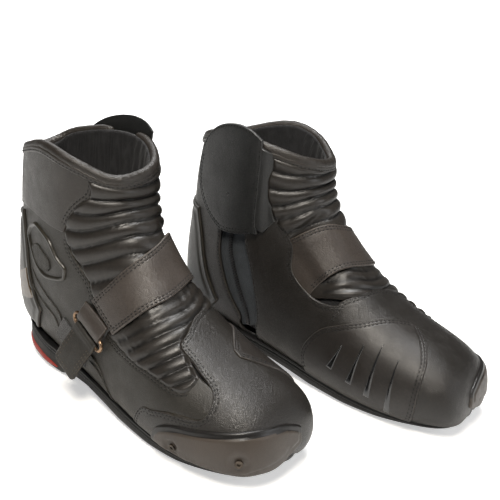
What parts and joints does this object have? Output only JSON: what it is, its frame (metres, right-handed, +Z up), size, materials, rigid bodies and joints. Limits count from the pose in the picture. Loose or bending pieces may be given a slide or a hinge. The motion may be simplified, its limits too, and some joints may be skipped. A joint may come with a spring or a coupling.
{
  "type": "motorcycle riding boots",
  "caption": "Pair of short leather riding boots with zip closure flap, instep strap with ring and pull tab, toe slider, shift pad and padded bellows.",
  "frame": {"origin": "centre of the right boot's heel tread, on the ground", "axes": "+Z up, toes towards -Y, the left boot on the +X side"},
  "size_m": [0.2912, 0.394, 0.2308],
  "materials": {
    "outsole_rubber": "matt moulded rubber tread",
    "red_wedge": "satin red moulded wedge",
    "welt_rubber": "satin black welt",
    "shank_steel": "brushed spring steel",
    "board": "matt fibre board",
    "footbed_textile": "knitted footbed cover",
    "stiffener": "matt thermoplastic sheet",
    "lining_textile": "ribbed charcoal textile",
    "leather": "finely grained matt black-brown leather",
    "bellows_leather": "soft padded leather, slightly shiny crests",
    "soft_leather": "smooth soft collar leather",
    "guard_plastic": "glossy dark moulded guard",
    "vent_plastic": "satin moulded vent",
    "slider_plastic": "hard satin plastic",
    "screw_metal": "blackened steel",
    "pad_rubber": "rubbery shift pad",
    "zip_textile": "woven grey zip tape",
    "zip_metal": "gunmetal zip slider",
    "puller_leather": "leather zip puller",
    "flap_leather": "grained leather flap",
    "strap_leather": "grained leather strap",
    "ring_metal": "bronzed steel wire",
    "loop_textile": "hook-and-loop pile"
  },
  "bodies": {
    "right_boot": {"right_outsole": "outsole_rubber", "right_heel_insert": "red_wedge", "right_midsole": "welt_rubber", "right_shank": "shank_steel", "right_insole_board": "board", "right_footbed": "footbed_textile", "right_toe_puff": "stiffener", "right_heel_counter": "stiffener", "right_lining": "lining_textile", "right_vamp": "leather", "right_medial_quarter": "leather", "right_lateral_quarter": "leather", "right_rear_quarter": "leather", "right_shin_bellows": "bellows_leather", "right_instep_bellows": "bellows_leather", "right_collar_rim": "soft_leather", "right_ankle_panel": "leather", "right_heel_guard": "guard_plastic", "right_ankle_cup": "vent_plastic", "right_toe_slider": "slider_plastic", "right_slider_screws": "screw_metal", "right_shift_pad": "pad_rubber", "right_zip_tape": "zip_textile", "right_loop_patch": "loop_textile"},
    "right_flap": {"right_closure_flap": "flap_leather"},
    "right_strap": {"right_instep_strap": "strap_leather"},
    "right_ring": {"right_strap_ring": "ring_metal"},
    "right_tab": {"right_pull_tab": "strap_leather"},
    "right_slider": {"right_zip_slider": "zip_metal"},
    "right_puller": {"right_zip_puller": "puller_leather"},
    "left_boot": {"left_outsole": "outsole_rubber", "left_heel_insert": "red_wedge", "left_midsole": "welt_rubber", "left_shank": "shank_steel", "left_insole_board": "board", "left_footbed": "footbed_textile", "left_toe_puff": "stiffener", "left_heel_counter": "stiffener", "left_lining": "lining_textile", "left_vamp": "leather", "left_medial_quarter": "leather", "left_lateral_quarter": "leather", "left_rear_quarter": "leather", "left_shin_bellows": "bellows_leather", "left_instep_bellows": "bellows_leather", "left_collar_rim": "soft_leather", "left_ankle_panel": "leather", "left_heel_guard": "guard_plastic", "left_ankle_cup": "vent_plastic", "left_toe_slider": "slider_plastic", "left_slider_screws": "screw_metal", "left_shift_pad": "pad_rubber", "left_zip_tape": "zip_textile", "left_loop_patch": "loop_textile"},
    "left_flap": {"left_closure_flap": "flap_leather"},
    "left_strap": {"left_instep_strap": "strap_leather"},
    "left_ring": {"left_strap_ring": "ring_metal"},
    "left_tab": {"left_pull_tab": "strap_leather"},
    "left_slider": {"left_zip_slider": "zip_metal"},
    "left_puller": {"left_zip_puller": "puller_leather"}
  },
  "joints": [
    {"name": "right_flap_hinge", "type": "hinge", "parent": "right_boot", "child": "right_flap", "pos_m": [0.04483, -0.06798, 0.18069], "axis": [-0.0388, 0.0352, -0.9986], "range_deg": [0, 85]},
    {"name": "right_strap_hinge", "type": "hinge", "parent": "right_boot", "child": "right_strap", "pos_m": [0.03725, -0.10906, 0.11281], "axis": [-0.0583, 0.6773, 0.7334], "range_deg": [0, 70]},
    {"name": "right_ring_hinge", "type": "hinge", "parent": "right_strap", "child": "right_ring", "pos_m": [-0.04686, -0.09859, 0.07557], "axis": [0.1217, 0.9213, 0.3694], "range_deg": [0, 85]},
    {"name": "right_tab_hinge", "type": "hinge", "parent": "right_ring", "child": "right_tab", "pos_m": [-0.04738, -0.09519, 0.06725], "axis": [0.1217, 0.9213, 0.3694], "range_deg": [0, 80]},
    {"name": "right_zip_slide", "type": "slide", "parent": "right_boot", "child": "right_slider", "axis": [-0.0182, 0.0315, -0.9993], "range_m": [0, 0.062]},
    {"name": "right_puller_swivel", "type": "hinge", "parent": "right_slider", "child": "right_puller", "pos_m": [0.04195, -0.03794, 0.19168], "axis": [0.9907, 0.1291, -0.0426], "range_deg": [-35, 35]},
    {"name": "left_flap_hinge", "type": "hinge", "parent": "left_boot", "child": "left_flap", "pos_m": [0.11386, -0.14213, 0.18069], "axis": [-0.0355, -0.0385, 0.9986], "range_deg": [0, 85]},
    {"name": "left_strap_hinge", "type": "hinge", "parent": "left_boot", "child": "left_strap", "pos_m": [0.12499, -0.1824, 0.11281], "axis": [0.0009, -0.6798, -0.7334], "range_deg": [0, 70]},
    {"name": "left_ring_hinge", "type": "hinge", "parent": "left_strap", "child": "left_ring", "pos_m": [0.20787, -0.16464, 0.07557], "axis": [0.2015, -0.9072, -0.3694], "range_deg": [0, 85]},
    {"name": "left_tab_hinge", "type": "hinge", "parent": "left_ring", "child": "left_tab", "pos_m": [0.2081, -0.1612, 0.06725], "axis": [0.2015, -0.9072, -0.3694], "range_deg": [0, 80]},
    {"name": "left_zip_slide", "type": "slide", "parent": "left_boot", "child": "left_slider", "axis": [0.0154, 0.033, -0.9993], "range_m": [0, 0.062]},
    {"name": "left_puller_swivel", "type": "hinge", "parent": "left_slider", "child": "left_puller", "pos_m": [0.11412, -0.11195, 0.19168], "axis": [0.9982, -0.0422, 0.0426], "range_deg": [-35, 35]},
    {"name": "left_boot_place", "type": "slide", "parent": "right_boot", "child": "left_boot", "axis": [1, 0, 0], "range_m": [0, 0.2]}
  ]
}
